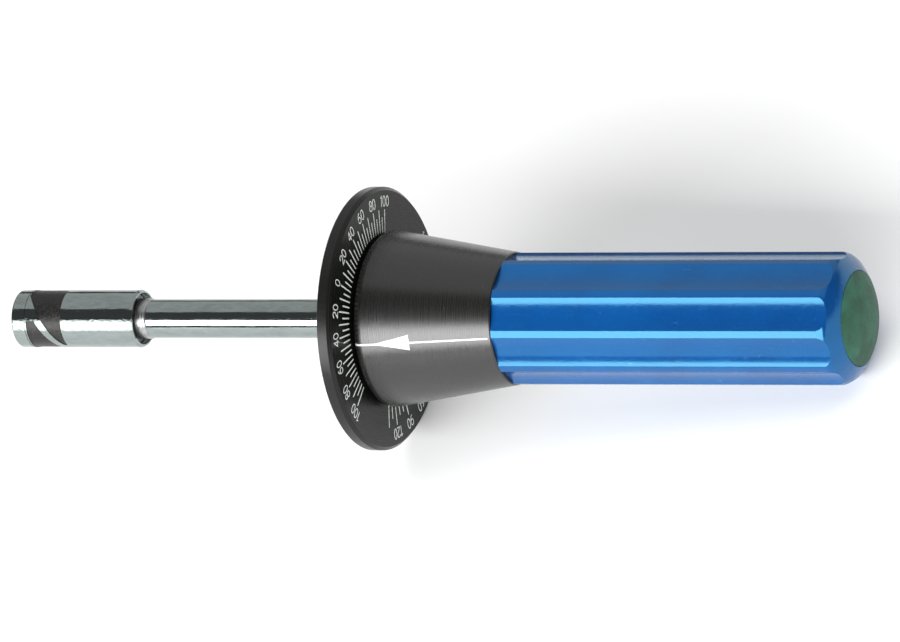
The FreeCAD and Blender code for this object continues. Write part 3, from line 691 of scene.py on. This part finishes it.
def dial_marks():
    """Paint in the engraved marks: one straight bead on each, from the inner to its outer end.

    The paint lies 0.015 mm below the face and reaches 0.095 mm down.
    """
    beads = PaintBeads()
    marks = [(first_scale(unit), LONG_MARK if unit % 10 == 0 else SHORT_MARK)
             for unit in range(-100, 101, 5)]
    marks += [(second_scale(unit), LONG_MARK if unit % 30 == 0 or abs(unit) == 140 else SHORT_MARK)
              for unit in range(-140, 141, 10)]
    for bearing, outer in marks:
        line = straight((0.0, MARK_END_GAP), (0.0, outer - MARK_INNER - MARK_END_GAP))
        beads.draw(line, MARK_PAINT_WIDTH, figure_plane(bearing, MARK_INNER), rise=-0.015,
                   sink=0.095, round_ends=False)
    return beads.on_dial()


def dial_figures():
    """The scales' numbers, written with a round pen, their tops towards the rim."""
    beads = PaintBeads()
    for unit in range(-100, 101, 20):
        write_number(beads, abs(unit), first_scale(unit))
    for unit in range(-120, 121, 30):
        write_number(beads, abs(unit), second_scale(unit))
    return beads.on_dial()


# ---- Arrow on the pointer cone ----
def cone_outline(path):
    """Point (x, radius) and outward normal of the cone's side at a path length behind its edge.

    Ahead of 0 the path runs round the front edge's arc of radius e, by the angle path / e;
    behind 0 it runs down the straight side, which leans by the angle lean.
    """
    lean = math.atan2(CONE_FRONT_RADIUS - CONE_REAR_RADIUS, CONE_REAR - CONE_FRONT)
    centre = np.array([CONE_FRONT + CONE_EDGE,
                       CONE_FRONT_RADIUS - CONE_EDGE * math.tan(lean) - CONE_EDGE / math.cos(lean)])
    turn = np.where(path < 0, path / CONE_EDGE, 0.0) + lean
    normal = np.stack([np.sin(turn), np.cos(turn)], -1)
    slide = np.maximum(path, 0.0)[:, None] * np.array([math.cos(lean), -math.sin(lean)])
    return centre + CONE_EDGE * normal + slide, normal


def pointer_arrow():
    """Arrow painted along the cone: line, triangle and finer line, laid on its side.

    The half width h is a function of the path. Each station's cross section goes over the cone
    from h to -h in steps of h / 6, proud between its edges, and goes back below the surface.
    """
    places, widths = np.array(ARROW_WIDTHS).T
    path = np.concatenate([np.linspace(places[0], 0.0, 8), np.linspace(0.5, places[1], 4),
                           places[2:5], np.linspace(10.4, places[5], 12), places[6:]])
    half = np.interp(path, places, widths)
    half[0] = 0.0
    surface, normal = cone_outline(path)
    across = np.concatenate([np.linspace(1.0, -1.0, 13), np.linspace(-0.9, 0.9, 10)])
    height = np.concatenate([[-PAINT_SINK], np.full(11, PAINT_RISE), np.full(11, -PAINT_SINK)])
    spot = surface[:, None, :] + normal[:, None, :] * height[None, :, None]
    bearing = POINTER_BEARING + np.degrees(half[:, None] * across / surface[:, None, 1])
    points = round_tool(spot[..., 0], spot[..., 1], bearing)
    return points.reshape(-1, 3), tube_faces(len(path), len(across))


# ---- Roots of the sleeve's ribs ----
def rib_root(turned_by):
    """Metal that widens a rib where it leaves the nose ring, flush with the sleeve.

    At a bearing b past the root's apex it fills x from the band's start to the rib's front edge,
    start + lead * (b - apex) / 360, and overlaps the ring by 0.02 mm and the rib by 0.03 mm. Its
    end is rounded by an inset q * (1 - sqrt(1 - t^2)), with t from 0 to 1 over the last degrees,
    and the last station drops to the pocket's floor to close it.
    """
    start = NOSE + BAND_START
    apex = RIB_BEARING + 360 * (BAND_START + RIB_WIDTH / 2 - RIB_PLACE) / RIB_LEAD
    rounded = ROOT_STRAIGHT + ROOT_ROUNDED * np.sin(np.radians(np.linspace(9, 90, 10)))
    bearing = apex + np.concatenate([np.linspace(0.5, ROOT_STRAIGHT, 10), rounded,
                                     [ROOT_STRAIGHT + ROOT_ROUNDED]])
    t = np.clip((bearing - apex - ROOT_STRAIGHT) / ROOT_ROUNDED, 0, 1)
    inset = ROOT_INSET * (1 - np.sqrt(1 - t ** 2))
    front = np.full(len(bearing), start - 0.02) + inset
    rear = start + RIB_LEAD * (bearing - apex) / 360 + 0.03 - inset
    top = np.full(len(bearing), SLEEVE_RADIUS)
    top[-1] = SLEEVE_RADIUS - ROOT_DEPTH
    low = np.full(len(bearing), SLEEVE_RADIUS - ROOT_DEPTH)
    x = np.stack([front, rear, rear, front], -1)
    radius = np.stack([top, top, low, low], -1)
    points = round_tool(x, radius, bearing[:, None] + turned_by)
    return points.reshape(-1, 3), tube_faces(len(bearing), x.shape[1])


for number, turned_by in enumerate((0, 180), 1):
    new_piece(f"rib_root_{number}", *rib_root(turned_by), "sleeve", "chrome_sleeve", sleeve_chrome,
              smooth=False)
new_piece("dial_mark_paint", *dial_marks(), "dial_disc", "black_dial", white_paint, smooth=False)
new_piece("dial_figure_paint", *dial_figures(), "dial_disc", "black_dial", white_paint, smooth=False)
new_piece("arrow_paint", *pointer_arrow(), "handle", "black_cone", white_paint, smooth=False)


# ---- Floor, light and camera ----
def make_floor():
    """Plain pale floor under the tool, well past the camera's view."""
    half, level = 3.0, 0.0
    corners = [(-half, -half, level), (half, -half, level), (half, half, level), (-half, half, level)]
    mesh = bpy.data.meshes.new("floor")
    mesh.from_pydata(corners, [], [(0, 1, 2, 3)])
    floor = bpy.data.objects.new("floor", mesh)
    bpy.context.scene.collection.objects.link(floor)
    material = bpy.data.materials.new("pale_floor")
    material.use_nodes = True
    shader = material.node_tree.nodes["Principled BSDF"]
    shader.inputs["Base Color"].default_value = (0.92, 0.92, 0.92, 1.0)
    shader.inputs["Roughness"].default_value = 0.9
    shader.inputs["Specular IOR Level"].default_value = 0.1
    mesh.materials.append(material)


def make_softbox(name, bearings, distance, reach, radiance, mirrored=True):
    """A rectangular lamp that faces the tool from between two bearings.

    Its width is 2 d tan(half the span), its length lies along the tool, from one reach to the
    other, and its power is pi * area * radiance. It shows in reflections only if it is mirrored.
    """
    middle = math.radians(sum(bearings) / 2)
    half = math.radians((bearings[1] - bearings[0]) / 2)
    width = 2 * distance * math.tan(half)
    length = reach[1] - reach[0]
    outward = math.cos(middle) * SIDE + math.sin(middle) * ABOVE
    lamp = bpy.data.lights.new(name, "AREA")
    lamp.shape = "RECTANGLE"
    lamp.size, lamp.size_y = length, width
    lamp.energy = math.pi * width * length * radiance
    holder = bpy.data.objects.new(name, lamp)
    bpy.context.scene.collection.objects.link(holder)
    turn = Matrix((ALONG, np.cross(outward, ALONG), outward)).transposed().to_4x4()
    place = ORIGIN + distance * outward + (reach[0] + reach[1]) / 2 * ALONG
    holder.matrix_world = Matrix.Translation(Vector(place)) @ turn
    holder.visible_camera = False
    holder.visible_glossy = mirrored


make_floor()
world = bpy.data.worlds.new("studio")
world.use_nodes = True
world.node_tree.nodes["Background"].inputs["Color"].default_value = (1.0, 1.0, 1.0, 1.0)
world.node_tree.nodes["Background"].inputs["Strength"].default_value = 0.10
bpy.context.scene.world = world
bpy.context.scene.view_settings.view_transform = "Standard"

# The camera looks along a line that leans by VIEW_LEAN from square across the axis towards the
# handle, on the side at VIEW_BEARING. It aims at the axis's point AIM_X, in mm, moved right and
# up in the view by AIM_RIGHT and AIM_UP.
VIEW_LEAN = math.radians(25.3)
VIEW_BEARING = math.radians(129.9)
VIEW_DISTANCE = 2.047
AIM_X, AIM_RIGHT, AIM_UP = -0.85, 0.013715, -0.00051
across_view = math.cos(VIEW_BEARING) * SIDE + math.sin(VIEW_BEARING) * ABOVE
up_view = math.cos(VIEW_BEARING - math.pi / 2) * SIDE + math.sin(VIEW_BEARING - math.pi / 2) * ABOVE
back = math.sin(VIEW_LEAN) * ALONG + math.cos(VIEW_LEAN) * across_view
right = math.cos(VIEW_LEAN) * ALONG - math.sin(VIEW_LEAN) * across_view
aim = ORIGIN + AIM_X * MM * ALONG + AIM_RIGHT * right + AIM_UP * up_view
camera_data = bpy.data.cameras.new("camera")
camera_data.lens = 400.0
camera_data.sensor_width = 36.0
camera_data.clip_end = 20.0
camera = bpy.data.objects.new("camera", camera_data)
bpy.context.scene.collection.objects.link(camera)
turn = Matrix((right, up_view, back)).transposed().to_4x4()
camera.matrix_world = Matrix.Translation(Vector(aim + VIEW_DISTANCE * back)) @ turn
bpy.context.scene.camera = camera

make_softbox("front_strip", bearings=(141, 172), distance=1.5, reach=(-2.2, 1.2), radiance=8.5)
make_softbox("rear_sky", bearings=(8, 92), distance=1.5, reach=(-2.4, 1.8), radiance=0.62)
make_softbox("shadow_fill", bearings=(60, 110), distance=1.3, reach=(-1.0, 1.0), radiance=1.0,
             mirrored=False)
